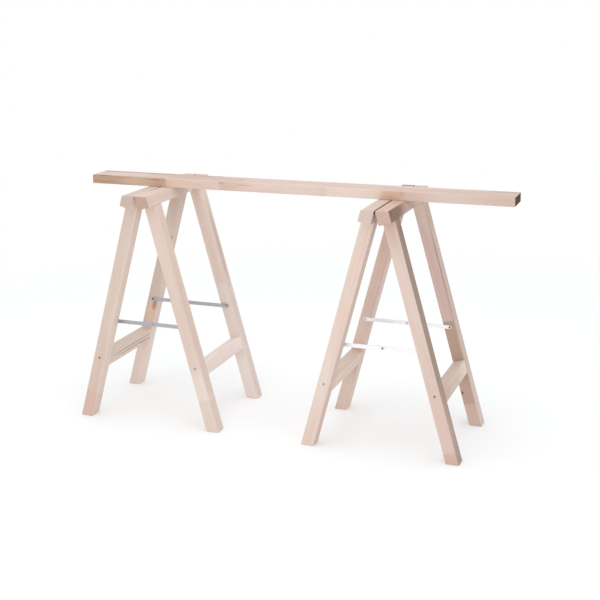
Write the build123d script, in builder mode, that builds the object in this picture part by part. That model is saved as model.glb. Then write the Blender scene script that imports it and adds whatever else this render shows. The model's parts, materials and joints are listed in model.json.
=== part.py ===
from build123d import *

import os
from math import cos, radians, sin, tan

# Two folding beech trestles carry one loose plank. Millimetres, Z up, X along the plank,
# Y away from the viewer, origin on the floor under the middle of the plank.

# Plank
plank_length = 1474
plank_width = 98
plank_thickness = 30
plank_past_left_trestle = 263
plank_past_right_trestle = 391
plank_end_chamfer = 1.0

# Trestle frames: two legs, a top rail and a stretcher, leaning from the vertical by this angle
trestle_height = 800
lean = 15.25
leg_width = 42
leg_depth = 45
leg_spacing = 342
rail_height = 47
rail_overhang = 44
edge_round = 2.0
foot_chamfer = 1.5

# Stub tenons of the legs in the rails
tenon_thickness = 14
tenon_width = 30
tenon_length = 25
mortise_relief = 1.0

# Stretchers, each held at both ends by one screw and one dowel
stretcher_thickness = 40
stretcher_height = 45
stretcher_middle_height = 203
stretcher_screw_rise = 14
dowel_drop = 9
dowel_diameter = 10
dowel_length = 40

# Continuous hinge in a groove between the rails
hinge_drop = 5.5
hinge_end_inset = 24
pin_diameter = 3.0
pin_chamfer = 0.4
leaf_thickness = 1.5
leaf_width = 22
leaf_gap = 1.0
knuckle_count = 11
knuckle_gap = 0.4
knuckle_relief = 0.45
lip_round = 1.0
hinge_screw_count = 5
hinge_screw_pitch = 100
hinge_screw_down = 13

# Folding stays, two flat steel links each
stay_height = 340
stay_width = 13
stay_thickness = 2.0
stay_play = 0.1
stay_tail = 18
lug_length = 6
lug_rise = 2.0
washer_diameter = 12

# Rivets in the middle of the stays
rivet_diameter = 5
rivet_head_diameter = 9
rivet_head_height = 1.8
rivet_flush_diameter = 7.5

# Screws: head diameter, shank diameter, length
stretcher_screw_head = 9.5
stretcher_screw_shank = 5
stretcher_screw_length = 80
hinge_screw_head = 6
hinge_screw_shank = 3
hinge_screw_length = 16
stay_screw_head = 7.5
stay_screw_shank = 4
stay_screw_length = 30
stay_screw_head_height = 2.6
screw_tip = 4
countersink_angle = 90
recess_share = 0.5
recess_blade = 1.0
recess_depth = 1.4

# Clearances
running_clearance = 0.05
screw_clearance = 0.05
dowel_end_gap = 1.0

SIDES = {"left": -1, "right": 1}
ROWS = {"front": -1, "rear": 1}

# Values that follow from the sizes above. In a frame, "out" is measured square to the leg from
# the hinge pin line and "down" along the leg.
cos_lean = cos(radians(lean))
sin_lean = sin(radians(lean))
countersink_slope = tan(radians(countersink_angle / 2))
pin_height = trestle_height - hinge_drop
inner = leaf_thickness + leaf_gap
outer = inner + leg_width
leg_middle = inner + leg_width / 2
rail_length = leg_spacing + leg_depth + 2 * rail_overhang
hinge_length = rail_length - 2 * hinge_end_inset
knuckle_radius = pin_diameter / 2 + running_clearance + leaf_thickness
groove_radius = knuckle_radius + knuckle_relief
leaf_start = groove_radius
knuckle_pitch = hinge_length / knuckle_count
outside_face = (leg_spacing + leg_depth) / 2
inside_face = (leg_spacing - leg_depth) / 2
left_trestle_x = plank_past_left_trestle - plank_length / 2
right_trestle_x = plank_length / 2 - plank_past_right_trestle


def down_to(height, out):
    """Distance down the leg at which a frame reaches a height above the floor."""
    return (pin_height + out * sin_lean - height) / cos_lean


rail_underside = down_to(trestle_height, inner) + rail_height
stretcher_down = down_to(stretcher_middle_height, leg_middle)
stay_down = down_to(stay_height, leg_middle)
stay_reach = leg_middle * cos_lean + stay_down * sin_lean

# Layers of a stay, counted from the leg's face that carries it
left_link_layer = stay_play
right_link_layer = left_link_layer + stay_thickness + stay_play
lap_plane = left_link_layer + stay_thickness + stay_play / 2
washer_thickness = right_link_layer - stay_play


def frame_plane(trestle_x, side):
    """Plane square to Y through the hinge pin, with local x running out and local y down the leg."""
    hand = SIDES[side]
    return Plane(
        origin=(trestle_x, 0, pin_height),
        x_dir=(hand * cos_lean, 0, sin_lean),
        z_dir=(0, hand, 0),
    )


def frame_point(frame, out, down, y):
    """World point from a frame's own distances and a place along Y."""
    return frame.origin + frame.x_dir * out + frame.y_dir * down + Vector(0, y, 0)


def outside_plane(frame, row, down):
    """Plane on the outer end face of a leg, facing away from the trestle."""
    point = frame_point(frame, leg_middle, down, ROWS[row] * outside_face)
    return Plane(origin=point, x_dir=(1, 0, 0), z_dir=(0, ROWS[row], 0))


def inside_plane(frame, row, down, lift=0):
    """Plane on a leg's face that looks at the other leg, or lifted off it."""
    point = frame_point(frame, leg_middle, down, ROWS[row] * (inside_face - lift))
    return Plane(origin=point, x_dir=(1, 0, 0), z_dir=(0, -ROWS[row], 0))


def stretcher_end_plane(frame, row, down):
    """Plane on a stretcher's end, facing the leg."""
    point = frame_point(frame, leg_middle, down, ROWS[row] * inside_face)
    return Plane(origin=point, x_dir=(1, 0, 0), z_dir=(0, ROWS[row], 0))


def tenon_plane(frame, row):
    """Plane on the rail's underside over a leg, facing up into the rail."""
    point = frame_point(frame, leg_middle, rail_underside, ROWS[row] * leg_spacing / 2)
    return Plane(origin=point, x_dir=frame.x_dir, z_dir=-frame.y_dir)


def leaf_face_plane(frame, out):
    """Plane on the hinge side of a leaf or rail at the level of the hinge screws, facing the pin plane."""
    point = frame_point(frame, out, hinge_screw_down, 0)
    return Plane(origin=point, x_dir=frame.z_dir, z_dir=-frame.x_dir)


def stay_plane(trestle_x, row, lift):
    """Plane of a stay at a layer off the leg face, with local y up and the middle rivet at its origin."""
    y = ROWS[row] * (inside_face - lift)
    return Plane(origin=(trestle_x, y, stay_height), x_dir=(ROWS[row], 0, 0), z_dir=(0, -ROWS[row], 0))


def finish(part, name):
    """Label a finished piece and write its file."""
    part.label = name
    export_step(part, f"parts/{name}.step")


def make_rail(name, frame):
    """Top rail with a level top, a groove for the hinge barrel and two blind mortises."""
    with BuildPart() as rail:
        with BuildSketch(frame.offset(-rail_length / 2)) as profile:
            with BuildLine():
                Polyline(
                    (inner, down_to(trestle_height, inner)),
                    (outer, down_to(trestle_height, outer)),
                    (outer, rail_underside),
                    (inner, rail_underside),
                    close=True,
                )
            make_face()
            lip = profile.vertices().group_by(Axis.X)[0].sort_by(Axis.Y)[0]
            fillet(lip, lip_round)
            fillet(profile.vertices().sort_by_distance(lip)[2:], edge_round)
            Circle(groove_radius, mode=Mode.SUBTRACT)
        extrude(amount=rail_length)
        for row in ROWS:
            with BuildSketch(tenon_plane(frame, row)):
                Rectangle(tenon_thickness, tenon_width)
            extrude(amount=tenon_length + mortise_relief, mode=Mode.SUBTRACT)
        with Locations(leaf_face_plane(frame, inner)):
            with GridLocations(hinge_screw_pitch, 1, hinge_screw_count, 1):
                Hole(hinge_screw_shank / 2 + screw_clearance, depth=hinge_screw_length)
    finish(rail.part, name)


def make_leg(name, frame, row):
    """Leg with a stub tenon at the top and its foot sawn level with the floor."""
    with BuildPart() as leg:
        with BuildSketch(frame.offset(ROWS[row] * leg_spacing / 2 * frame.z_dir.Y)):
            with BuildLine():
                Polyline(
                    (inner, rail_underside),
                    (outer, rail_underside),
                    (outer, down_to(0, outer)),
                    (inner, down_to(0, inner)),
                    close=True,
                )
            make_face()
        extrude(amount=leg_depth / 2, both=True)
        fillet(leg.edges().filter_by(Axis(frame.origin, frame.y_dir)), edge_round)
        chamfer(leg.faces().sort_by(Axis.Z)[0].edges(), foot_chamfer)
        with BuildSketch(tenon_plane(frame, row)):
            Rectangle(tenon_thickness, tenon_width)
        extrude(amount=tenon_length)
        with Locations(outside_plane(frame, row, stretcher_down - stretcher_screw_rise)):
            CounterSinkHole(
                stretcher_screw_shank / 2 + screw_clearance,
                stretcher_screw_head / 2 + screw_clearance,
                depth=leg_depth,
                counter_sink_angle=countersink_angle,
            )
        with Locations(inside_plane(frame, row, stretcher_down + dowel_drop)):
            Hole(dowel_diameter / 2, depth=dowel_length / 2 + dowel_end_gap)
        with Locations(inside_plane(frame, row, stay_down)):
            Hole(stay_screw_shank / 2 + screw_clearance, depth=stay_screw_length)
    finish(leg.part, name)


def make_stretcher(name, frame):
    """Lower rail between the two legs, square to the lean of the frame."""
    with BuildPart() as stretcher:
        with BuildSketch(frame.offset(-inside_face)):
            with Locations((leg_middle, stretcher_down)):
                RectangleRounded(stretcher_thickness, stretcher_height, edge_round)
        extrude(amount=2 * inside_face)
        for row in ROWS:
            with Locations(stretcher_end_plane(frame, row, stretcher_down - stretcher_screw_rise)):
                Hole(
                    stretcher_screw_shank / 2 + screw_clearance,
                    depth=stretcher_screw_length - leg_depth + screw_clearance,
                )
            with Locations(stretcher_end_plane(frame, row, stretcher_down + dowel_drop)):
                Hole(dowel_diameter / 2, depth=dowel_length / 2 + dowel_end_gap)
    finish(stretcher.part, name)


def make_dowels(name, frame):
    """Wooden dowels, half in the leg and half in the stretcher."""
    with BuildPart() as dowels:
        for row in ROWS:
            with BuildSketch(stretcher_end_plane(frame, row, stretcher_down + dowel_drop)):
                Circle(dowel_diameter / 2)
            extrude(amount=dowel_length / 2, both=True)
    finish(dowels.part, name)


def screw_blank(head, shank, length, head_height=None, recessed=True):
    """Wood screw with its head's top at the origin, pointing down: countersunk, or pan headed with a height."""
    with BuildPart() as screw:
        with BuildSketch(Plane.XZ):
            with BuildLine():
                if head_height is None:
                    neck = (shank / 2, -(head - shank) / 2 / countersink_slope)
                    top = [(0, 0), (head / 2, 0), neck]
                else:
                    top = [(0, 0), (head / 2, 0), (head / 2, -head_height), (shank / 2, -head_height)]
                Polyline(*top, (shank / 2, screw_tip - length), (0, -length), close=True)
            make_face()
        revolve(axis=Axis.Z)
        if recessed:
            with BuildSketch(Plane.XY):
                Rectangle(head * recess_share, recess_blade)
                Rectangle(recess_blade, head * recess_share)
            extrude(amount=-recess_depth, mode=Mode.SUBTRACT)
    return screw.part


def make_screws(name, blank, places):
    """Group of alike screws, one at each place."""
    with BuildPart() as screws:
        with Locations(*places):
            add(blank)
    finish(screws.part, name)


def make_hinge_leaf(name, frame, first_knuckle):
    """Hinge leaf with every second knuckle rolled round the pin and countersunk screw holes."""
    starts = [
        -hinge_length / 2 + index * knuckle_pitch + knuckle_gap / 2
        for index in range(first_knuckle, knuckle_count, 2)
    ]
    middle_of_leaf = leaf_gap + leaf_thickness / 2
    with BuildPart() as leaf:
        with BuildSketch(frame.offset(-hinge_length / 2)):
            with Locations((middle_of_leaf, (leaf_start + leaf_width) / 2)):
                Rectangle(leaf_thickness, leaf_width - leaf_start)
        extrude(amount=hinge_length)
        with BuildSketch(*[frame.offset(start) for start in starts]):
            Circle(knuckle_radius)
            with Locations((middle_of_leaf, leaf_start / 2)):
                Rectangle(leaf_thickness, leaf_start)
            Circle(pin_diameter / 2 + running_clearance, mode=Mode.SUBTRACT)
        extrude(amount=knuckle_pitch - knuckle_gap)
        with Locations(leaf_face_plane(frame, leaf_gap)):
            with GridLocations(hinge_screw_pitch, 1, hinge_screw_count, 1):
                CounterSinkHole(
                    hinge_screw_shank / 2 + screw_clearance,
                    hinge_screw_head / 2 + screw_clearance,
                    depth=leaf_thickness,
                    counter_sink_angle=countersink_angle,
                )
    finish(leaf.part, name)


def make_hinge_pin(name, frame):
    """Hinge pin, as long as the hinge."""
    with BuildPart() as pin:
        with BuildSketch(frame.offset(-hinge_length / 2)):
            Circle(pin_diameter / 2)
        extrude(amount=hinge_length)
        chamfer(pin.edges().filter_by(GeomType.CIRCLE), pin_chamfer)
    finish(pin.part, name)


def make_left_link(name, trestle_x, row):
    """Link that lies on the left frame's leg, countersunk at the middle for the flush end of the rivet."""
    plane = stay_plane(trestle_x, row, left_link_layer)
    end = -stay_reach * ROWS[row]
    with BuildPart() as link:
        with BuildSketch(plane):
            with Locations((end / 2, 0)):
                SlotCenterToCenter(stay_reach, stay_width)
            with Locations((end, 0)):
                Circle(stay_screw_shank / 2 + running_clearance, mode=Mode.SUBTRACT)
        extrude(amount=stay_thickness)
        with Locations(Plane(origin=plane.origin, x_dir=plane.x_dir, z_dir=-plane.z_dir)):
            CounterSinkHole(
                rivet_diameter / 2,
                rivet_flush_diameter / 2,
                depth=stay_thickness,
                counter_sink_angle=countersink_angle,
            )
    finish(link.part, name)


def make_right_link(name, trestle_x, row):
    """Link that lies over the other one, with a tail whose lug comes down on the left link's top edge."""
    plane = stay_plane(trestle_x, row, right_link_layer)
    end = stay_reach * ROWS[row]
    tail = -stay_tail * ROWS[row]
    lug_middle = tail + ROWS[row] * lug_length / 2
    with BuildPart() as link:
        with BuildSketch(plane):
            with Locations(((end + tail) / 2, 0)):
                SlotCenterToCenter(stay_reach + stay_tail, stay_width)
            with Locations((end, 0)):
                Circle(stay_screw_shank / 2 + running_clearance, mode=Mode.SUBTRACT)
            Circle(rivet_diameter / 2, mode=Mode.SUBTRACT)
        extrude(amount=stay_thickness)
        with BuildSketch(plane):
            with Locations((lug_middle, stay_width / 2)):
                Rectangle(lug_length, lug_rise, align=(Align.CENTER, Align.MIN))
        extrude(amount=stay_thickness)
        with BuildSketch(plane):
            with Locations((lug_middle, stay_width / 2 + stay_play)):
                Rectangle(lug_length, lug_rise - stay_play, align=(Align.CENTER, Align.MIN))
        extrude(amount=left_link_layer - right_link_layer)
    finish(link.part, name)


def make_rivet_tail(name, trestle_x, row):
    """Flush half of a stay's rivet, in the left link up to the lap plane."""
    with BuildPart() as tail:
        with BuildSketch(stay_plane(trestle_x, row, left_link_layer)):
            Circle(rivet_flush_diameter / 2 - screw_clearance)
        flare = (rivet_flush_diameter - rivet_diameter) / 2 / countersink_slope
        extrude(amount=flare, taper=countersink_angle / 2)
        with BuildSketch(stay_plane(trestle_x, row, left_link_layer)):
            Circle(rivet_diameter / 2 - screw_clearance)
        extrude(amount=lap_plane - left_link_layer)
    finish(tail.part, name)


def make_rivet_head(name, trestle_x, row):
    """Domed half of a stay's rivet, in the right link from the lap plane out."""
    plane = stay_plane(trestle_x, row, lap_plane)
    seat = right_link_layer + stay_thickness - lap_plane
    shank_radius = rivet_diameter / 2 - screw_clearance
    rim = (rivet_head_diameter / 2, seat)
    crown = (0, seat + rivet_head_height)
    with BuildPart() as head:
        with BuildSketch(Plane(origin=plane.origin, x_dir=plane.x_dir, z_dir=-plane.y_dir)):
            with BuildLine():
                Polyline(crown, (0, 0), (shank_radius, 0), (shank_radius, seat), rim)
                TangentArc(crown, rim, tangent=(1, 0))
            make_face()
        revolve(axis=Axis(plane.origin, plane.z_dir))
    finish(head.part, name)


def make_washers(name, frame):
    """Spacing washers that lift the right link off its legs by the thickness of the left one."""
    with BuildPart() as washers:
        for row in ROWS:
            with BuildSketch(inside_plane(frame, row, stay_down)):
                Circle(washer_diameter / 2)
                Circle(stay_screw_shank / 2 + screw_clearance, mode=Mode.SUBTRACT)
            extrude(amount=washer_thickness)
    finish(washers.part, name)


def make_plank(name):
    """Plank lying level across both trestles."""
    with BuildPart() as plank:
        with BuildSketch(Plane.YZ.offset(-plank_length / 2)):
            with Locations((0, trestle_height + plank_thickness / 2)):
                RectangleRounded(plank_width, plank_thickness, edge_round)
        extrude(amount=plank_length)
        chamfer(plank.faces().filter_by(Axis.X).edges(), plank_end_chamfer)
    finish(plank.part, name)


def make_frame(trestle, frame, side):
    """Wooden pieces and fixed hardware of one half of a trestle."""
    name = f"{trestle}_trestle_{side}"
    make_rail(f"{name}_rail", frame)
    for row in ROWS:
        make_leg(f"{name}_{row}_leg", frame, row)
    make_stretcher(f"{name}_stretcher", frame)
    make_dowels(f"{name}_stretcher_dowels", frame)
    make_screws(
        f"{name}_stretcher_screws",
        screw_blank(stretcher_screw_head, stretcher_screw_shank, stretcher_screw_length),
        [outside_plane(frame, row, stretcher_down - stretcher_screw_rise) for row in ROWS],
    )
    make_hinge_leaf(f"{name}_hinge_leaf", frame, 0 if side == "left" else 1)
    with Locations(leaf_face_plane(frame, leaf_gap)):
        hinge_screw_places = GridLocations(hinge_screw_pitch, 1, hinge_screw_count, 1).locations
    make_screws(
        f"{name}_hinge_screws",
        screw_blank(hinge_screw_head, hinge_screw_shank, hinge_screw_length, recessed=False),
        hinge_screw_places,
    )
    link_layer = left_link_layer if side == "left" else right_link_layer
    head_top = link_layer + stay_thickness + stay_play + stay_screw_head_height
    make_screws(
        f"{name}_stay_screws",
        screw_blank(stay_screw_head, stay_screw_shank, stay_screw_length, stay_screw_head_height),
        [inside_plane(frame, row, stay_down, head_top) for row in ROWS],
    )


def make_trestle(trestle, trestle_x):
    """One folding trestle: two frames on a common hinge, held apart by two stays."""
    for side in SIDES:
        make_frame(trestle, frame_plane(trestle_x, side), side)
    make_hinge_pin(f"{trestle}_trestle_hinge_pin", frame_plane(trestle_x, "left"))
    make_washers(f"{trestle}_trestle_stay_washers", frame_plane(trestle_x, "right"))
    for row in ROWS:
        name = f"{trestle}_trestle_{row}_stay"
        make_left_link(f"{name}_left_link", trestle_x, row)
        make_right_link(f"{name}_right_link", trestle_x, row)
        make_rivet_tail(f"{name}_rivet_tail", trestle_x, row)
        make_rivet_head(f"{name}_rivet_head", trestle_x, row)


os.makedirs("parts", exist_ok=True)
make_trestle("left", left_trestle_x)
make_trestle("right", right_trestle_x)
make_plank("plank")
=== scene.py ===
import json
from math import cos, pi, radians, sin

import bpy
import numpy as np
from mathutils import Matrix, Vector


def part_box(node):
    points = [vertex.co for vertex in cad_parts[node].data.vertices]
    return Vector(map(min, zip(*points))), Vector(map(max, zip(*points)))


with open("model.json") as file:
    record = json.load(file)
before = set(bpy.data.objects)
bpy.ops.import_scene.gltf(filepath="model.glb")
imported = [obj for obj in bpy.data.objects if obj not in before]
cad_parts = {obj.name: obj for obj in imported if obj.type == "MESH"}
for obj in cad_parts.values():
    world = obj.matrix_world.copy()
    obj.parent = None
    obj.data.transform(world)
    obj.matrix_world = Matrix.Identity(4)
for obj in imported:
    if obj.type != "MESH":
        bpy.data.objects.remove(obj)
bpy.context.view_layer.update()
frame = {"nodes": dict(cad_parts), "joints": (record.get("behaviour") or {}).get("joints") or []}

# Two folding beech trestles with a loose beech plank on them, in metres, as the frame gives them
MM = 0.001
SIDEWAYS = Vector((1, 0, 0))
BACKWARDS = Vector((0, 1, 0))
SIDES = {"left": -1, "right": 1}
TRESTLES = ("left", "right")
ROWS = ("front", "rear")
joints = {joint["name"]: joint for joint in frame["joints"]}
lean = radians(joints["left_trestle_fold"]["range_deg"][1]) / 2

# Camera of the photograph, for a square picture
CAMERA_PLACE = (1.3481, -3.5323, 1.4852)  # metres
CAMERA_YAW = -20.65  # degrees
CAMERA_PITCH = 10.68  # degrees
CAMERA_ROLL = -0.61  # degrees
CAMERA_LENS = 69.57  # mm
CAMERA_SENSOR = 36  # mm
CAMERA_SHIFT = -1 / 6  # of the picture's height

# Sockets of the Mix node, which has its own for numbers and for colours
NUMBER_A = 2
NUMBER_B = 3
COLOUR_A = 6
COLOUR_B = 7
COLOUR_OUT = 2

# Finger joints between the staves
FINGER_PITCH = 6.0  # mm from tooth to tooth
FINGER_LENGTH = 9.0  # mm
GLUE_LINE = 0.7  # mm
GLUE_SHADE = 0.9  # of the stave's tone

# Figure of the beech: length and width in mm, noise where it starts and where it is full, strength and tint
FIGURE = {
    "cloud": (420, 55, 0.36, 0.66, 0.8, "#f6f0ed"),
    "streak": (300, 9, 0.45, 0.70, 0.42, "#f5ede8"),
    "fleck": (7, 0.8, 0.56, 0.72, 0.4, "#e2cbbc"),  # three times as coarse as in the wood, so that it shows
}
FIGURE_DETAIL = 3.0
FIGURE_ROUGHNESS = 0.55
STAVE_STEP = 90.0  # shift of the figure from stave to stave
PIECE_STEP = 7.3  # shift of the figure from piece to piece

# Growth rings round a pith beside the piece, twice as wide as in the wood, so that they show
RING_SPACING = 5.0  # mm
PITH_ACROSS = 45  # mm from the piece's start
PITH_THROUGH = 60  # mm from the piece's start
RING_WAVER = 4.0  # radians
RING_WAVER_SCALE = 0.3  # of the rings' own scale
RING_WAVER_ALONG = 0.02  # pace along the grain, as a share of that across it
RING_WAVER_DETAIL = 2.0
RING_DARK_FROM = 0.4  # of the way through a ring
RING_SHARE = 0.18  # strength of the dark side
RING_TINT = "#ecdfd6"
END_RING_TINT = "#dcc4b6"
WAVE_RATE = 20  # radians in each unit of the wave texture

# Surface of planed beech
WOOD_SMOOTH = 0.58  # roughness between the streaks
WOOD_ROUGH = 0.70  # roughness of a streak at full strength
DULL = 1.0  # roughness of end grain, stains, knots and painted shade
END_GRAIN_FROM = 0.80  # how squarely a face lies across the grain where end grain starts
END_GRAIN_FULL = 0.97  # and where it is full
FLECK_WEIGHT = 2.0  # of the flecks in the relief, against the streaks
WOOD_RELIEF = 0.2  # strength
WOOD_RELIEF_DEPTH = 0.2  # mm
WOOD_IOR = 1.5

# Surface of drawn steel
DRAW_LINE_LENGTH = 60  # mm
DRAW_LINE_WIDTH = 0.5  # mm, several times as coarse as on the steel, so that it shows
DRAW_LINE_DETAIL = 2.0
DRAW_LINE_RELIEF = 0.05  # strength
DRAW_LINE_DEPTH = 0.02  # mm
BLOOM_SIZE = 14  # mm
BLOOM_FROM = 0.3  # noise where the bloom starts
BLOOM_FULL = 0.7  # and where it is full
BLOOM_DETAIL = 2.0
SPOT_SIZE = 3  # mm
SPOT_FROM = 0.58  # noise where a spot starts
SPOT_FULL = 0.74  # and where it is full
SPOT_DETAIL = 4.0
SPOT_TINT = "#8a8580"

# Finishes of the steel: bright and dull tone, roughness of either, and strength of the spots
STEEL = {
    # The stays' two finishes are one zinc: painted darker for the left trestle and paler for the right,
    # painted reflection
    "zinc_plated_steel_painted_darker": ("#b5b4ba", "#adacb2", 0.34, 0.40, 0.10),
    "zinc_plated_steel_painted_paler": ("#e9e8e8", "#e2e1e2", 0.34, 0.40, 0.04),
    "light_zinc_plated_steel": ("#c4c5c9", "#b4b5ba", 0.35, 0.45, 0.20),
    "dark_zinc_plated_steel": ("#7b7a80", "#6b6a71", 0.35, 0.45, 0.30),
    "zinc_plated_steel_with_oiled_knuckles": ("#cdc8c4", "#bdb7b2", 0.38, 0.48, 0.30),
    "phosphated_screw_steel": ("#b39c8c", "#95806f", 0.45, 0.62, 0.60),
    "worn_phosphated_screw_steel": ("#cdb8a8", "#b49d8c", 0.45, 0.62, 0.40),
}
# Hinge leaves of plain zinc; their marks paint shade along the knuckles and light at the left hinge's front
# end
HINGE_STEEL = "zinc_plated_steel_with_oiled_knuckles"
STAY_STEEL = {"left": "zinc_plated_steel_painted_darker", "right": "zinc_plated_steel_painted_paler"}

# Fasteners whose finish differs from the stays
FASTENER_STEEL = {
    "left_trestle_left_stay_screws": "dark_zinc_plated_steel",
    "left_trestle_right_stay_screws": "worn_phosphated_screw_steel",
    "right_trestle_left_stay_screws": "light_zinc_plated_steel",
    "right_trestle_right_stay_screws": "phosphated_screw_steel",
    "left_trestle_left_stretcher_screws": "phosphated_screw_steel",
    "left_trestle_right_stretcher_screws": "worn_phosphated_screw_steel",
    "right_trestle_left_stretcher_screws": "worn_phosphated_screw_steel",
    "right_trestle_right_stretcher_screws": "phosphated_screw_steel",
    "right_trestle_front_stay_rivet_head": "dark_zinc_plated_steel",
    "right_trestle_front_stay_rivet_tail": "dark_zinc_plated_steel",
    "right_trestle_rear_stay_rivet_head": "light_zinc_plated_steel",
    "right_trestle_rear_stay_rivet_tail": "light_zinc_plated_steel",
}

# White studio floor
FLOOR_RADIUS = 9.0  # metres
FLOOR_HUB = 0.18  # metres, radius of the one face in the middle
FLOOR_GAP = 0.2 * MM  # below the feet
FLOOR_RINGS = 40
FLOOR_SPOKES = 96
FLOOR_FADE_FROM = 1.4  # metres from the middle where it starts to fade into plain white
FLOOR_FADE_END = 3.0  # and where it is plain white
FLOOR_TONE = "#dfe1e2"
FLOOR_GLOW = 0.21
FLOOR_ROUGHNESS = 0.9
WHITE = (1, 1, 1, 1)
BLACK = (0, 0, 0, 1)

# Softboxes: place, aim and width in metres, and power in watts
SOFTBOXES = {
    "front_softbox": ((0.1, -2.6, 0.7), (0.0, 0.0, 0.4), 1.2, 11),
    "top_softbox": ((0.0, -0.4, 2.6), (0.0, 0.0, 0.0), 1.2, 9),
}

# Tones of the beech, from pale sapwood to red heartwood, and darker ones for knots, lines and painted shade
TONES = {
    "ivory": "#ebe0db",
    "linen": "#e1d0c5",
    "chalk": "#d9cac1",
    "cream": "#d9c8bd",
    "oat": "#d3c2b6",
    "pale": "#d2beb4",
    "straw": "#cebcb0",
    "honey": "#d4b8a3",
    "pink": "#cab5aa",
    "mauve": "#cab1a9",
    "blush": "#cfb4a9",
    "rose": "#c8afa2",
    "tan": "#bfa496",
    "dove": "#beaa9f",
    "fawn": "#b69d91",
    "amber": "#b69a8b",
    "russet": "#b49884",
    "taupe": "#aa9082",
    "copper": "#ac8067",
    "brown": "#968175",
    "umber": "#866b5c",
    "bark": "#7d5f50",
    "painted_shade_cocoa": "#4f2f1e",
    "near_black": "#3a2519",
}


def linear(hex_colour):
    """Linear RGBA of an sRGB hex colour."""
    srgb = np.array([int(hex_colour[i:i + 2], 16) for i in (1, 3, 5)]) / 255
    rgb = np.where(srgb <= 0.04045, srgb / 12.92, ((srgb + 0.055) / 1.055) ** 2.4)
    return (*rgb.tolist(), 1.0)


def add(tree, kind, inputs=None, output=0, **settings):
    """Add a node with its settings, set or link its inputs, and return one of its output sockets."""
    node = tree.nodes.new(kind)
    for name, value in settings.items():
        setattr(node, name, value)
    for socket, value in (inputs or {}).items():
        if isinstance(value, bpy.types.NodeSocket):
            tree.links.new(value, node.inputs[socket])
        else:
            node.inputs[socket].default_value = value
    return node.outputs[output] if node.outputs else None


def new_material(name):
    """Material with an empty node tree."""
    material = bpy.data.materials.new(name)
    material.use_nodes = True
    material.node_tree.nodes.clear()
    return material, material.node_tree


def grain_axes(tree, start, along, across):
    """Place in mm along, across and through the grain, and how squarely the surface faces each way."""
    source = add(tree, "ShaderNodeTexCoord").node
    turn = Matrix((along, across, along.cross(across))).transposed().to_euler()
    place = add(
        tree,
        "ShaderNodeMapping",
        {"Vector": source.outputs["Object"], "Location": start, "Rotation": turn, "Scale": (MM, MM, MM)},
        vector_type="TEXTURE",
    )
    normal = add(
        tree,
        "ShaderNodeMapping",
        {"Vector": source.outputs["Normal"], "Rotation": turn},
        vector_type="TEXTURE",
    )
    facing = add(tree, "ShaderNodeVectorMath", {0: normal}, operation="ABSOLUTE")
    return place, add(tree, "ShaderNodeSeparateXYZ", {0: facing}).node


def stave_tones(tree, axes, length, staves):
    """Tone of each stave of a lamella, with a darker glue line at its joint, whose teeth show on the faces
    that run through the piece, and a number between 0 and 1 for each stave."""
    tooth = add(
        tree,
        "ShaderNodeMath",
        {0: axes.outputs["Z"], 1: FINGER_PITCH / 2},
        operation="PINGPONG",
    )
    fingered = add(
        tree,
        "ShaderNodeMath",
        {0: tooth, 1: 2 * FINGER_LENGTH / FINGER_PITCH, 2: axes.outputs["X"]},
        operation="MULTIPLY_ADD",
    )
    share = add(tree, "ShaderNodeMath", {0: fingered, 1: length}, operation="DIVIDE")
    ramp = add(tree, "ShaderNodeValToRGB", {"Fac": share}).node
    ramp.color_ramp.interpolation = "CONSTANT"
    stops = ramp.color_ramp.elements
    stops.remove(stops[-1])
    for count, (start, tone) in enumerate(staves):
        colour = linear(TONES[tone])[:3]
        number = (count + 1) / (len(staves) + 1)
        stop = stops[0] if count == 0 else stops.new((start + GLUE_LINE) / length)
        stop.color = (*colour, number)
        if count > 0:
            line = stops.new(start / length)
            line.color = (*[channel * GLUE_SHADE for channel in colour], number)
    return ramp.outputs["Color"], ramp.outputs["Alpha"]


def lay_lamellas(tree, place, length, lamellas, seed):
    """Colour of the lamellas side by side, and a number that changes wherever a stave ends."""
    axes = add(tree, "ShaderNodeSeparateXYZ", {0: place}).node
    colour = WHITE
    for edge, staves in lamellas.items():
        tone, number = stave_tones(tree, axes, length, staves)
        beyond = add(tree, "ShaderNodeMath", {0: axes.outputs["Y"], 1: edge}, operation="GREATER_THAN")
        colour = add(
            tree,
            "ShaderNodeMix",
            {"Factor": beyond, COLOUR_A: colour, COLOUR_B: tone},
            COLOUR_OUT,
            data_type="RGBA",
        )
        seed = add(tree, "ShaderNodeMath", {0: number, 1: STAVE_STEP, 2: seed}, operation="MULTIPLY_ADD")
    return colour, seed


def lay_figure(tree, place, colour, seed):
    """Colour with clouds, streaks and flecks along the grain over it, and how strong each of these is."""
    layers = {}
    for layer, (reach, width, low, high, share, tint) in FIGURE.items():
        scaled = add(
            tree,
            "ShaderNodeVectorMath",
            {0: place, 1: (1 / reach, 1 / width, 1 / width)},
            operation="MULTIPLY",
        )
        noise = add(
            tree,
            "ShaderNodeTexNoise",
            {
                "Vector": scaled,
                "W": seed,
                "Scale": 1.0,
                "Detail": FIGURE_DETAIL,
                "Roughness": FIGURE_ROUGHNESS,
            },
            noise_dimensions="4D",
        )
        layers[layer] = add(
            tree,
            "ShaderNodeMapRange",
            {"Value": noise, "From Min": low, "From Max": high, "To Max": share},
            interpolation_type="SMOOTHSTEP",
        )
        colour = add(
            tree,
            "ShaderNodeMix",
            {"Factor": layers[layer], COLOUR_A: colour, COLOUR_B: linear(tint)},
            COLOUR_OUT,
            data_type="RGBA",
            blend_type="MULTIPLY",
        )
    return colour, layers


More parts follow.
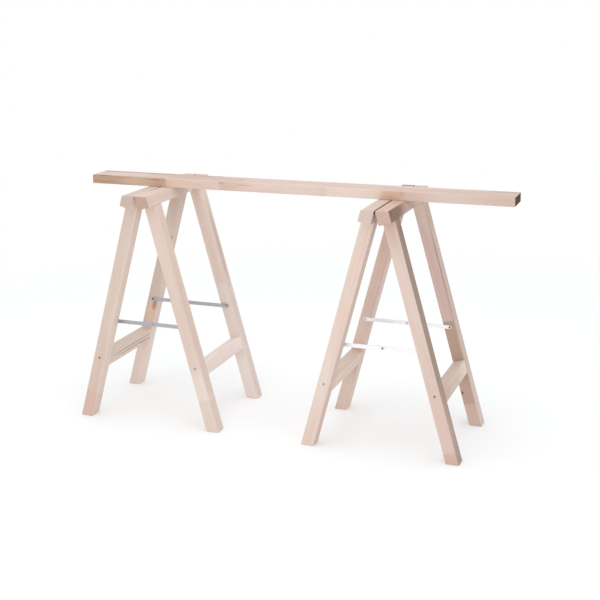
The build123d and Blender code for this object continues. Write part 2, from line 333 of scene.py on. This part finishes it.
def growth_rings(tree, place, seed):
    """Strength of each growth ring's dark side, round a pith beside the piece, wavering slowly along it."""
    pith = add(
        tree,
        "ShaderNodeVectorMath",
        {0: place, 1: (RING_WAVER_ALONG, 1, 1), 2: (0, PITH_ACROSS, PITH_THROUGH)},
        operation="MULTIPLY_ADD",
    )
    rings = add(
        tree,
        "ShaderNodeTexWave",
        {
            "Vector": pith,
            "Scale": 2 * pi / WAVE_RATE / RING_SPACING,
            "Distortion": RING_WAVER,
            "Detail": RING_WAVER_DETAIL,
            "Detail Scale": RING_WAVER_SCALE,
            "Phase Offset": seed,
        },
        "Fac",
        wave_type="RINGS",
        rings_direction="X",
        wave_profile="SAW",
    )
    return add(
        tree,
        "ShaderNodeMapRange",
        {"Value": rings, "From Min": RING_DARK_FROM, "From Max": 1.0, "To Max": RING_SHARE},
        interpolation_type="SMOOTHSTEP",
    )


def lay_marks(tree, place, colour, roughness, marks):
    """Colour and roughness with dull streaks, patches and knots, and with painted light and shade, over them,
    each strongest in its middle and fading out all round."""
    for spot in marks:
        near = add(
            tree,
            "ShaderNodeMapping",
            {"Vector": place, "Location": spot["at"], "Scale": spot["size"]},
            vector_type="TEXTURE",
        )
        ball = add(tree, "ShaderNodeTexGradient", {0: near}, "Fac", gradient_type="SPHERICAL")
        strength = add(
            tree,
            "ShaderNodeMapRange",
            {"Value": ball, "From Max": spot["soft"], "To Max": spot["share"]},
            interpolation_type="SMOOTHSTEP",
        )
        colour = add(
            tree,
            "ShaderNodeMix",
            {"Factor": strength, COLOUR_A: colour, COLOUR_B: linear(TONES[spot["tone"]])},
            COLOUR_OUT,
            data_type="RGBA",
        )
        roughness = add(tree, "ShaderNodeMix", {"Factor": strength, NUMBER_A: roughness, NUMBER_B: DULL})
    return colour, roughness


def beech(name, start, along, across, length, lamellas, seed, end_tone="dove", marks=()):
    """Beech glued up from lamellas of finger jointed staves, planed and sanded and left bare: pale pinkish
    staves of slightly unlike tone, soft clouds, streaks and rings along the grain, short brown flecks, darker
    end grain, dull."""
    material, tree = new_material(name)
    place, facing = grain_axes(tree, start, along, across)
    colour, stave_seed = lay_lamellas(tree, place, length, lamellas, seed)
    colour, layers = lay_figure(tree, place, colour, stave_seed)
    rings = growth_rings(tree, place, stave_seed)
    colour = add(
        tree,
        "ShaderNodeMix",
        {"Factor": rings, COLOUR_A: colour, COLOUR_B: linear(RING_TINT)},
        COLOUR_OUT,
        data_type="RGBA",
        blend_type="MULTIPLY",
    )
    roughness = add(
        tree,
        "ShaderNodeMapRange",
        {"Value": layers["streak"], "To Min": WOOD_SMOOTH, "To Max": WOOD_ROUGH},
    )
    colour, roughness = lay_marks(tree, place, colour, roughness, marks)

    end_colour = add(
        tree,
        "ShaderNodeMix",
        {"Factor": rings, COLOUR_A: linear(TONES[end_tone]), COLOUR_B: linear(END_RING_TINT)},
        COLOUR_OUT,
        data_type="RGBA",
        blend_type="MULTIPLY",
    )
    end_grain = add(
        tree,
        "ShaderNodeMapRange",
        {"Value": facing.outputs["X"], "From Min": END_GRAIN_FROM, "From Max": END_GRAIN_FULL},
        interpolation_type="SMOOTHSTEP",
    )
    colour = add(
        tree,
        "ShaderNodeMix",
        {"Factor": end_grain, COLOUR_A: colour, COLOUR_B: end_colour},
        COLOUR_OUT,
        data_type="RGBA",
    )
    roughness = add(tree, "ShaderNodeMix", {"Factor": end_grain, NUMBER_A: roughness, NUMBER_B: DULL})

    pores = add(
        tree,
        "ShaderNodeMath",
        {0: layers["fleck"], 1: FLECK_WEIGHT, 2: layers["streak"]},
        operation="MULTIPLY_ADD",
    )
    relief = add(
        tree,
        "ShaderNodeBump",
        {"Strength": WOOD_RELIEF, "Distance": WOOD_RELIEF_DEPTH * MM, "Height": pores},
        invert=True,
    )
    surface = add(
        tree,
        "ShaderNodeBsdfPrincipled",
        {"Base Color": colour, "Roughness": roughness, "IOR": WOOD_IOR, "Normal": relief},
    )
    add(tree, "ShaderNodeOutputMaterial", {"Surface": surface})
    return material


def drawn_steel(name, finish, along, start=(0, 0, 0), marks=()):
    """Steel drawn or rolled in one direction, under zinc or brown phosphate: fine lines along it, a soft
    cloudy bloom and small dull spots."""
    bright, dull, smooth, rough, spot_share = STEEL[finish]
    material, tree = new_material(name)
    source = add(tree, "ShaderNodeTexCoord", None, "Object")
    turn = SIDEWAYS.rotation_difference(along).to_euler()
    place = add(
        tree,
        "ShaderNodeMapping",
        {"Vector": source, "Location": start, "Rotation": turn, "Scale": (MM, MM, MM)},
        vector_type="TEXTURE",
    )
    fine = (1 / DRAW_LINE_LENGTH, 1 / DRAW_LINE_WIDTH, 1 / DRAW_LINE_WIDTH)
    scaled = add(tree, "ShaderNodeVectorMath", {0: place, 1: fine}, operation="MULTIPLY")
    lines = add(tree, "ShaderNodeTexNoise", {"Vector": scaled, "Scale": 1.0, "Detail": DRAW_LINE_DETAIL})
    bloom = add(
        tree,
        "ShaderNodeTexNoise",
        {"Vector": place, "Scale": 1 / BLOOM_SIZE, "Detail": BLOOM_DETAIL},
    )
    cloudy = add(
        tree,
        "ShaderNodeMapRange",
        {"Value": bloom, "From Min": BLOOM_FROM, "From Max": BLOOM_FULL},
        interpolation_type="SMOOTHSTEP",
    )
    colour = add(
        tree,
        "ShaderNodeMix",
        {"Factor": cloudy, COLOUR_A: linear(bright), COLOUR_B: linear(dull)},
        COLOUR_OUT,
        data_type="RGBA",
    )
    spots = add(
        tree,
        "ShaderNodeTexNoise",
        {"Vector": place, "Scale": 1 / SPOT_SIZE, "Detail": SPOT_DETAIL},
    )
    spotted = add(
        tree,
        "ShaderNodeMapRange",
        {"Value": spots, "From Min": SPOT_FROM, "From Max": SPOT_FULL, "To Max": spot_share},
        interpolation_type="SMOOTHSTEP",
    )
    colour = add(
        tree,
        "ShaderNodeMix",
        {"Factor": spotted, COLOUR_A: colour, COLOUR_B: linear(SPOT_TINT)},
        COLOUR_OUT,
        data_type="RGBA",
        blend_type="MULTIPLY",
    )
    roughness = add(tree, "ShaderNodeMapRange", {"Value": cloudy, "To Min": smooth, "To Max": rough})
    colour, roughness = lay_marks(tree, place, colour, roughness, marks)
    relief = add(
        tree,
        "ShaderNodeBump",
        {"Strength": DRAW_LINE_RELIEF, "Distance": DRAW_LINE_DEPTH * MM, "Height": lines},
    )
    surface = add(
        tree,
        "ShaderNodeBsdfPrincipled",
        {"Base Color": colour, "Metallic": 1.0, "Roughness": roughness, "Normal": relief},
    )
    add(tree, "ShaderNodeOutputMaterial", {"Surface": surface})
    return material


def paint(node, material):
    """Give a CAD node its finish."""
    for slot in frame["nodes"][node].material_slots:
        slot.material = material


def mark(at, size, tone, share, soft=1.0):
    """Streak, patch, knot, or patch of painted light or shade: its middle and its reach along, across and
    through the piece in mm, its tone, its strength, and the share of its reach over which it fades out."""
    return {"at": at, "size": size, "tone": tone, "share": share, "soft": soft}


# Lamellas from their edge in mm across the piece, and their staves from their start in mm along it
FACE = -1000  # an edge outside every piece, so that the first lamella takes all that the others leave

# Wood of the legs
LEG_LAMELLAS = {
    ("left", "left", "front"): {FACE: [(0, "cream"), (97, "linen")], -19.5: [(0, "blush"), (97, "straw")]},
    ("left", "right", "front"): {FACE: [(0, "oat"), (115, "chalk")], 19.5: [(0, "cream"), (115, "linen")]},
    ("left", "left", "rear"): {FACE: [(0, "linen"), (240, "cream")], -19.5: [(0, "cream"), (240, "pink")]},
    ("left", "right", "rear"): {FACE: [(0, "chalk"), (440, "cream")], 19.5: [(0, "chalk"), (440, "cream")]},
    ("right", "left", "front"): {FACE: [(0, "pale")], -19.5: [(0, "cream")]},
    # Right trestle, front right leg: its right side is painted dark brown, painted shade of a face turned
    # from the light
    ("right", "right", "front"): {FACE: [(0, "tan"), (40, "pale")], 19: [(0, "brown")]},
    ("right", "left", "rear"): {FACE: [(0, "cream")], -19.5: [(0, "blush")]},
    ("right", "right", "rear"): {FACE: [(0, "rose"), (82, "amber"), (375, "mauve")], 18: [(0, "pink")]},
}
LEG_MARKS = {
    ("left", "left", "rear"): [
        mark((300, 0, 22), (70, 18, 30), "honey", 0.9, 0.5),
        mark((335, -10, 22), (34, 12, 12), "copper", 0.85, 0.6),
        # Painted light: paler near the top of the front face, lifting the shade under the plank
        mark((630, 0, 22), (120, 60, 20), "cream", 0.5),
        mark((603, -18, 22), (7, 5, 8), "bark", 0.9),
    ],
    ("left", "right", "front"): [
        mark((560, 0, 0), (380, 200, 200), "rose", 0.42, 0.15),
        mark((178, 21.5, 0), (80, 4, 60), "straw", 0.6, 0.6),
    ],
    ("left", "right", "rear"): [
        mark((590, 21, 3), (200, 3, 14), "taupe", 0.45, 0.6),
        mark((120, 0, -22), (260, 60, 60), "ivory", 0.5),
    ],
    ("right", "left", "front"): [mark((40, 0, -22), (230, 70, 90), "blush", 0.75)],
    ("right", "right", "front"): [
        mark((800, 0, -22), (170, 40, 40), "tan", 0.8),
        mark((120, 0, -22), (240, 60, 80), "blush", 0.7),
        # Painted shade on the right side, darker towards the top under the rail
        mark((390, 21.5, 0), (330, 4, 60), "taupe", 0.45, 0.6),
        mark((790, 21.5, 0), (120, 4, 60), "umber", 0.35, 0.6),
    ],
    ("right", "left", "rear"): [
        mark((790, 0, 0), (320, 90, 90), "tan", 0.7),
        mark((80, 0, 22), (150, 60, 20), "cream", 0.5),
        mark((300, 0, 22), (100, 60, 20), "cream", 0.45),
    ],
    ("right", "right", "rear"): [
        mark((560, 18, -22), (330, 3, 6), "umber", 0.8),
        mark((760, 19, -22), (110, 5, 8), "copper", 0.7),
        mark((140, 0, -22), (110, 60, 60), "tan", 0.6),
        mark((121, -16, -22), (10, 6, 6), "near_black", 0.8, 0.8),
        mark((820, 0, -22), (200, 60, 16), "linen", 0.8),
        mark((80, 21.5, 0), (170, 4, 60), "cream", 0.6, 0.6),
        mark((800, 21.5, 0), (150, 4, 60), "fawn", 0.5, 0.6),
    ],
}

# Wood of the rails, with painted shade along the hinge gap between them
RAIL_LAMELLAS = {
    # Left trestle's left rail: its inner face is painted palest ivory, painted light in the shaded wedge
    # below the hinge
    ("left", "left"): {FACE: [(0, "ivory")], 7: [(0, "straw"), (210, "pale")]},
    ("left", "right"): {FACE: [(0, "cream"), (330, "pale")]},
    # Right rails: a tan strip on the top at the gap's lips, painted shade that widens the hinge line
    ("right", "left"): {FACE: [(0, "blush")], 2.7: [(0, "tan")], 5: [(0, "straw"), (180, "pale")]},
    ("right", "right"): {FACE: [(0, "blush")], 2.7: [(0, "tan")], 5: [(0, "blush"), (240, "rose")]},
}
RAIL_ENDS = {
    ("left", "left"): "dove",
    ("left", "right"): "amber",
    ("right", "left"): "pink",
    ("right", "right"): "tan",
}
RAIL_MARKS = {
    ("right", "left"): [
        mark((480, 25, 0), (30, 60, 30), "bark", 0.9, 0.5),
        mark((78, 22, 6), (7, 8, 12), "copper", 0.5),
    ],
    ("right", "right"): [
        # Painted shade on the right rail's outer face: dark brown over its front part and darkest at its
        # front end
        mark((10, 46, 20), (215, 9, 60), "bark", 0.88, 0.6),
        mark((12, 46, 12), (26, 9, 18), "painted_shade_cocoa", 0.4),
        # Painted reflection and shade: warmer and darker on the top just in front of the plank
        mark((152, 26, 0), (50, 45, 14), "copper", 0.3),
    ],
}
# Painted shade along the hinge line: near black and dark brown on the rails and on the hinge leaves and
# knuckles, standing in for the shade of the gap between the rails
HINGE_GAP_PAINTED_LIGHT_AND_SHADE = {
    "left": [
        # Painted light: paler at the left hinge's front end, in the groove's mouth
        mark((0, 0, 0), (40, 9, 9), "blush", 0.9, 0.4),
        mark((215, 0, 0), (175, 6, 9), "near_black", 1.0, 0.3),
        mark((430, 0, 0), (300, 6, 9), "near_black", 1.0, 0.3),
    ],
    "right": [mark((238, 0, 0), (700, 6, 9), "painted_shade_cocoa", 1.0, 0.3)],
}

# Wood of the stretchers and their dowels
STRETCHER_LAMELLAS = {
    ("left", "left"): {FACE: [(0, "cream")]},
    ("left", "right"): {FACE: [(0, "ivory")]},
    ("right", "left"): {FACE: [(0, "linen")], -18: [(0, "cream")]},
    ("right", "right"): {FACE: [(0, "oat")]},
}
STRETCHER_MARKS = {
    ("left", "left"): [
        mark((160, -20, 9), (230, 30, 2.4), "bark", 0.9, 0.6),
        mark((170, -20, -4), (160, 30, 2.2), "bark", 0.9, 0.6),
        mark((265, -20, -10), (60, 30, 2.2), "bark", 0.8, 0.6),
    ],
    ("right", "right"): [
        mark((290, 20, 0), (150, 12, 60), "linen", 0.7),
        mark((0, 20, 0), (110, 12, 60), "tan", 0.6),
    ],
}
DOWEL_LAMELLAS = {FACE: [(0, "tan")]}

# Wood of the plank
PLANK_LAMELLAS = {
    FACE: [(0, "russet"), (285, "pale"), (487, "rose"), (860, "cream"), (1052, "honey"), (1126, "pale")],
    -45: [(0, "pale"), (200, "pink"), (560, "pale"), (1040, "pink")],
    27: [(0, "fawn"), (285, "dove"), (470, "pale")],
}
# The plank's end grain is painted very dark brown, painted shade of an end turned away from the light
PLANK_END_PAINTED_SHADE = "painted_shade_cocoa"
PLANK_MARKS = [
    mark((48, -49, 15), (42, 4, 3), "bark", 0.9, 0.6),
    mark((45, -49, -7), (90, 5, 7), "bark", 0.35),
    mark((215, -49, 0), (130, 10, 24), "honey", 0.5, 0.6),
    mark((262, -49, -3), (45, 8, 30), "copper", 0.35),
    mark((240, -49, 9), (60, 6, 4.5), "bark", 0.5),
    mark((277, -49, 6), (6, 8, 7), "bark", 0.6),
    mark((325, -49, -4), (90, 8, 40), "honey", 0.85),
    mark((720, -49, 0), (220, 20, 60), "pale", 1.0, 0.6),
    mark((640, -49, -9), (150, 14, 10), "blush", 0.8),
    mark((490, -49, 10), (18, 8, 6), "taupe", 0.8),
    mark((573, -49, 6), (45, 8, 3), "tan", 0.9, 0.6),
    mark((1080, -49, -10), (60, 14, 30), "copper", 0.3),
    mark((1118, -49, 6), (14, 8, 12), "umber", 0.35),
    mark((1160, -49, 0), (80, 30, 50), "blush", 0.9),
    mark((1480, -49, 0), (230, 40, 60), "tan", 0.6),
    mark((1450, 45, 15), (160, 40, 20), "fawn", 0.8),
]


def grow(node, start, along, across, lamellas, **looks):
    """Beech for one piece, with the grain along it from its start."""
    low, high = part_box(node)
    length = sum(abs(part) * side for part, side in zip(along, high - low)) / MM
    seed = PIECE_STEP * list(frame["nodes"]).index(node)
    paint(node, beech(f"beech_{node}", start, along, across, length, lamellas, seed, **looks))


def middle(node):
    """Middle of a CAD node's box."""
    low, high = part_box(node)
    return (low + high) / 2


def finish_trestle(trestle):
    """Wood of one trestle, measured up from the foot on a leg, out from the hinge pin on a rail and out from
    the piece's middle on a stretcher and its dowels."""
    pin = Vector(joints[f"{trestle}_trestle_fold"]["pos_m"])
    for side, hand in SIDES.items():
        out = Vector((hand * cos(lean), 0, sin(lean)))
        up = Vector((-hand * sin(lean), 0, cos(lean)))
        name = f"{trestle}_trestle_{side}"
        for row in ROWS:
            leg = f"{name}_{row}_leg"
            foot = Vector(joints[f"{trestle}_trestle_{row}_stay_{side}_pivot"]["pos_m"])
            foot -= up * foot.z / up.z
            foot.y = middle(leg).y
            key = (trestle, side, row)
            grow(leg, foot, up, out, LEG_LAMELLAS[key], marks=LEG_MARKS.get(key, ()))
        key = (trestle, side)
        rail, stretcher, dowels = (f"{name}_{piece}" for piece in ("rail", "stretcher", "stretcher_dowels"))
        rail_marks = [*HINGE_GAP_PAINTED_LIGHT_AND_SHADE[trestle], *RAIL_MARKS.get(key, ())]
        for node, origin, lamellas, looks in (
            (rail, pin, RAIL_LAMELLAS[key], {"end_tone": RAIL_ENDS[key], "marks": rail_marks}),
            (stretcher, middle(stretcher), STRETCHER_LAMELLAS[key], {"marks": STRETCHER_MARKS.get(key, ())}),
            (dowels, middle(dowels), DOWEL_LAMELLAS, {}),
        ):
            start = Vector((origin.x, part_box(node)[0].y, origin.z))
            grow(node, start, BACKWARDS, out, lamellas, **looks)


def finish_plank():
    """Wood of the plank, with its grain from the left end."""
    start = middle("plank")
    start.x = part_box("plank")[0].x
    grow("plank", start, SIDEWAYS, BACKWARDS, PLANK_LAMELLAS, end_tone=PLANK_END_PAINTED_SHADE, marks=PLANK_MARKS)


def finish_steel():
    """Zinc plated stays, painted darker on the left trestle and paler on the right as painted reflection,
    zinc plated hinge leaves with painted shade along the knuckles and painted light at the left hinge's front
    end, and screws and rivets in lighter or darker zinc or brown phosphate."""
    stays = {trestle: drawn_steel(finish, finish, SIDEWAYS) for trestle, finish in STAY_STEEL.items()}
    finishes = dict.fromkeys(FASTENER_STEEL.values())
    fasteners = {finish: drawn_steel(finish, finish, BACKWARDS) for finish in finishes}
    hinges = {}
    for trestle in TRESTLES:
        pin = Vector(joints[f"{trestle}_trestle_fold"]["pos_m"])
        pin.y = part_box(f"{trestle}_trestle_left_rail")[0].y
        name = f"{HINGE_STEEL}_{trestle}"
        hinges[trestle] = drawn_steel(name, HINGE_STEEL, BACKWARDS, pin, HINGE_GAP_PAINTED_LIGHT_AND_SHADE[trestle])
    for node in frame["nodes"]:
        trestle = node.split("_")[0]
        if node in FASTENER_STEEL:
            paint(node, fasteners[FASTENER_STEEL[node]])
        elif "hinge" in node:
            paint(node, hinges[trestle])
        elif "stay" in node:
            paint(node, stays[trestle])


def floor_disc():
    """Flat disc: points at r cos a, r sin a on a grid of radius r and angle a, with one face for the hub."""
    r, a = np.meshgrid(
        np.linspace(FLOOR_HUB, FLOOR_RADIUS, FLOOR_RINGS),
        np.linspace(0, 2 * pi, FLOOR_SPOKES, endpoint=False),
    )
    points = np.stack([r * np.cos(a), r * np.sin(a), np.full_like(r, -FLOOR_GAP)], -1).reshape(-1, 3)
    spokes = np.arange(FLOOR_SPOKES)[:, None]
    rings = np.arange(FLOOR_RINGS - 1)
    here = spokes * FLOOR_RINGS + rings
    there = (spokes + 1) % FLOOR_SPOKES * FLOOR_RINGS + rings
    quads = np.stack([here, here + 1, there + 1, there], -1).reshape(-1, 4)
    hub = here[:, 0]
    mesh = bpy.data.meshes.new("floor")
    mesh.from_pydata(points.tolist(), [], [*quads.tolist(), hub.tolist()])
    floor = bpy.data.objects.new("floor", mesh)
    bpy.context.scene.collection.objects.link(floor)
    return floor


def lay_floor():
    """White studio floor, lit from within so that shadows stay faint, that runs out into plain white."""
    floor = floor_disc()
    material, tree = new_material("white_floor_paint")
    place = add(tree, "ShaderNodeTexCoord", None, "Object")
    far = add(tree, "ShaderNodeVectorMath", {0: place}, "Value", operation="LENGTH")
    fade = add(
        tree,
        "ShaderNodeMapRange",
        {"Value": far, "From Min": FLOOR_FADE_FROM, "From Max": FLOOR_FADE_END},
        interpolation_type="SMOOTHSTEP",
    )
    colour = add(
        tree,
        "ShaderNodeMix",
        {"Factor": fade, COLOUR_A: linear(FLOOR_TONE), COLOUR_B: BLACK},
        COLOUR_OUT,
        data_type="RGBA",
    )
    glow = add(tree, "ShaderNodeMapRange", {"Value": fade, "To Min": FLOOR_GLOW, "To Max": 1.0})
    surface = add(
        tree,
        "ShaderNodeBsdfPrincipled",
        {
            "Base Color": colour,
            "Roughness": FLOOR_ROUGHNESS,
            "Specular IOR Level": 0.0,
            "Emission Color": WHITE,
            "Emission Strength": glow,
        },
    )
    add(tree, "ShaderNodeOutputMaterial", {"Surface": surface})
    floor.data.materials.append(material)


def softbox(name, place, aim, size, power):
    """Square area light that the camera doesn't see."""
    light = bpy.data.lights.new(name, "AREA")
    light.size = size
    light.energy = power
    lamp = bpy.data.objects.new(name, light)
    lamp.location = place
    lamp.rotation_euler = (Vector(aim) - Vector(place)).to_track_quat("-Z", "Y").to_euler()
    lamp.visible_camera = False
    bpy.context.scene.collection.objects.link(lamp)


def light_studio():
    """White walls all round, with weak softboxes in front and overhead."""
    for name, (place, aim, size, power) in SOFTBOXES.items():
        softbox(name, place, aim, size, power)
    world = bpy.data.worlds.new("white_studio")
    world.use_nodes = True
    tree = world.node_tree
    tree.nodes.clear()
    white = add(tree, "ShaderNodeBackground", {"Color": WHITE, "Strength": 1.0})
    add(tree, "ShaderNodeOutputWorld", {"Surface": white})
    bpy.context.scene.world = world
    bpy.context.scene.view_settings.view_transform = "Standard"


def place_camera():
    """Camera at the photograph's view: yaw turns it right, pitch down, and roll lifts its right side."""
    yaw, pitch, roll = (radians(angle) for angle in (CAMERA_YAW, CAMERA_PITCH, CAMERA_ROLL))
    ahead = Vector((sin(yaw) * cos(pitch), cos(yaw) * cos(pitch), -sin(pitch)))
    level = Vector((cos(yaw), -sin(yaw), 0))
    upright = level.cross(ahead)
    right = level * cos(roll) + upright * sin(roll)
    up = upright * cos(roll) - level * sin(roll)
    data = bpy.data.cameras.new("camera")
    data.lens = CAMERA_LENS
    data.sensor_width = CAMERA_SENSOR
    data.shift_y = CAMERA_SHIFT
    camera = bpy.data.objects.new("camera", data)
    camera.matrix_world = Matrix.Translation(CAMERA_PLACE) @ Matrix((right, up, -ahead)).transposed().to_4x4()
    bpy.context.scene.collection.objects.link(camera)
    bpy.context.scene.camera = camera


for trestle in TRESTLES:
    finish_trestle(trestle)
finish_plank()
finish_steel()
lay_floor()
light_studio()
place_camera()
